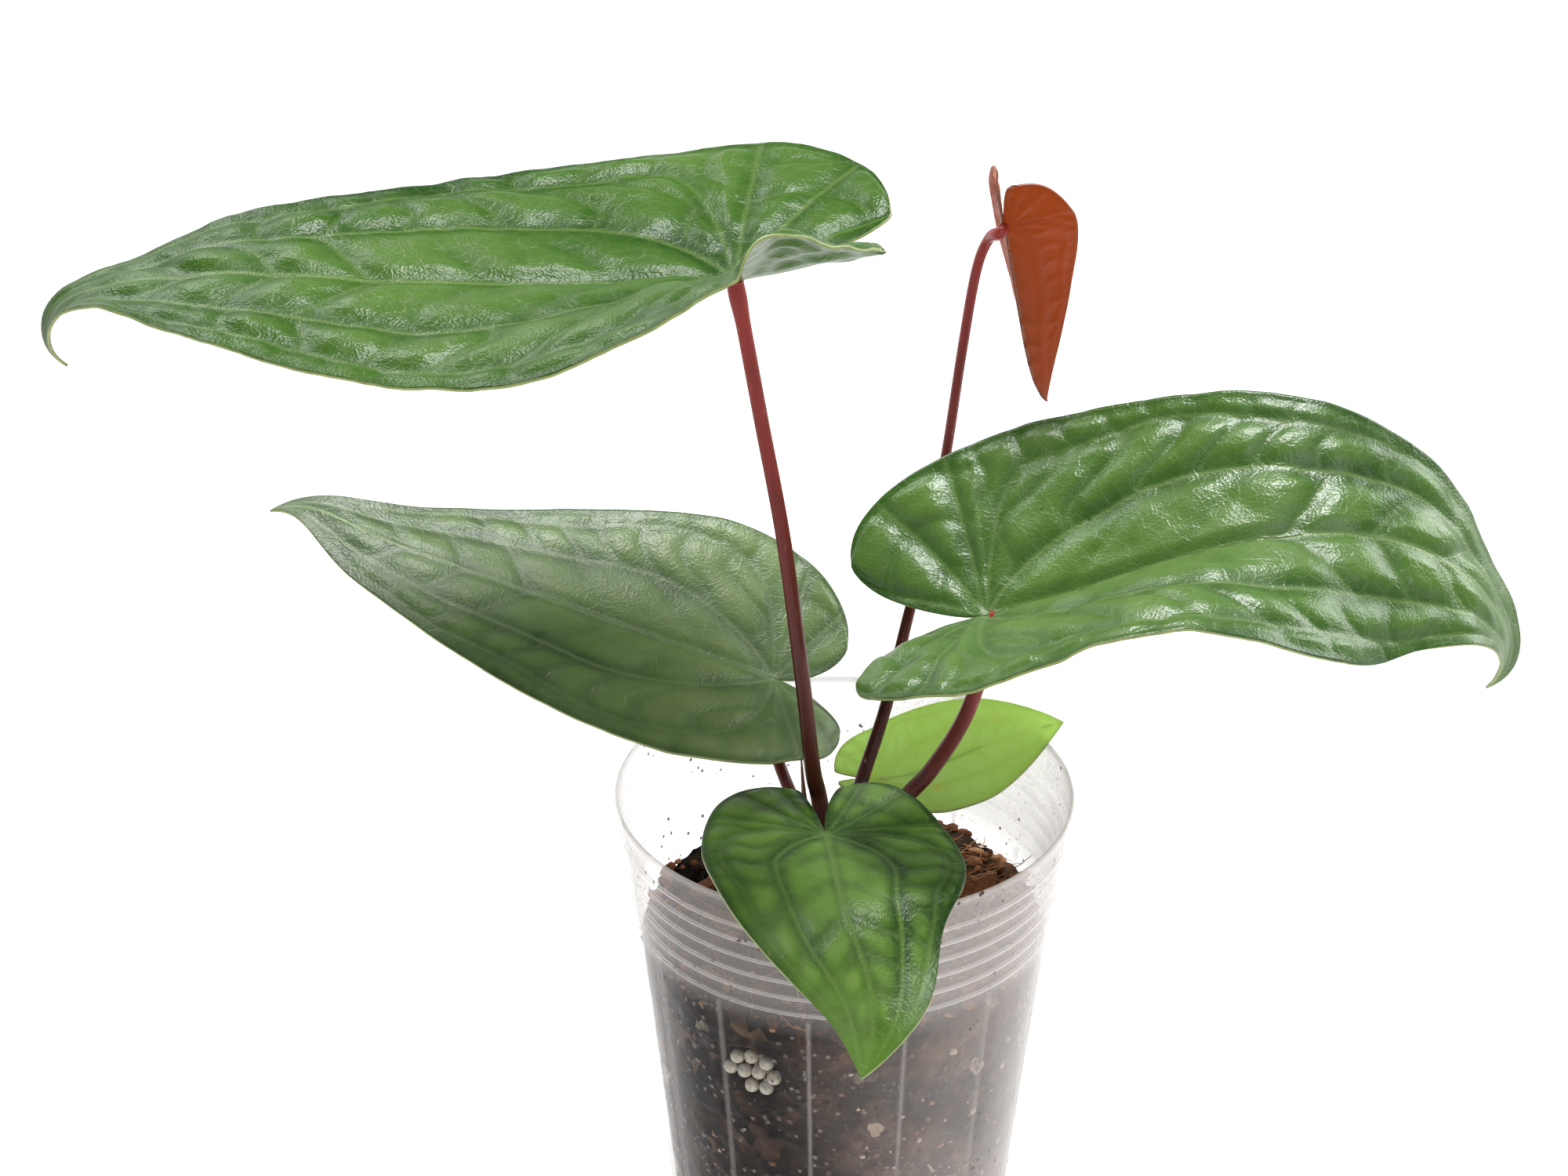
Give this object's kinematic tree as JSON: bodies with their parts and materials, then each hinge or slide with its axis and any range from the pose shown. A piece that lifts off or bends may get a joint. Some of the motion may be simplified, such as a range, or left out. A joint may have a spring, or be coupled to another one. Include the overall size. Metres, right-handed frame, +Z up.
{
  "type": "potted anthurium",
  "caption": "Foliage anthurium with leathery heart-shaped leaves on slim upright petioles, rooted in bark mix in a clear tapered plastic nursery pot.",
  "frame": {"origin": "centre of the pot's flat underside", "axes": "+Z up; -Y is the front, where the small heart-shaped leaf hangs over the rim; +X to the right seen from the front, along the spread of the leaves"},
  "size_m": [0.3622, 0.1737, 0.3096],
  "materials": {
    "pot_plastic": "thin clear plastic, slightly milky with moisture",
    "mix": "damp coarse bark and coir mix",
    "bark": "rough reddish bark and coir",
    "petiole": "smooth dark red, satin",
    "leaf_green": "leathery quilted green, satin",
    "leaf_lime": "thin yellow-green, satin",
    "leaf_bronze": "soft bronze new leaf, satin",
    "dry_sheath": "dry papery brown",
    "pellet": "smooth off-white fertiliser pellet"
  },
  "bodies": {
    "root": {"pot": "pot_plastic", "potting_mix": "mix", "stem_crown": "petiole", "petiole_upper_left": "petiole", "petiole_right": "petiole", "petiole_mid_left": "petiole", "petiole_front": "petiole", "petiole_back_right": "petiole", "petiole_new": "petiole", "leaf_upper_left": "leaf_green", "leaf_right": "leaf_green", "leaf_mid_left": "leaf_green", "leaf_front": "leaf_green", "leaf_back_right": "leaf_lime", "leaf_new": "leaf_bronze", "sheath_brown": "dry_sheath", "sheath_red": "dry_sheath", "bark_chip_1": "bark", "bark_chip_2": "bark", "bark_chip_3": "bark", "bark_chip_4": "bark", "pellet_1": "pellet", "pellet_2": "pellet", "pellet_3": "pellet", "pellet_4": "pellet", "pellet_5": "pellet", "pellet_6": "pellet", "pellet_7": "pellet", "pellet_8": "pellet", "pellet_9": "pellet"}
  },
  "joints": []
}
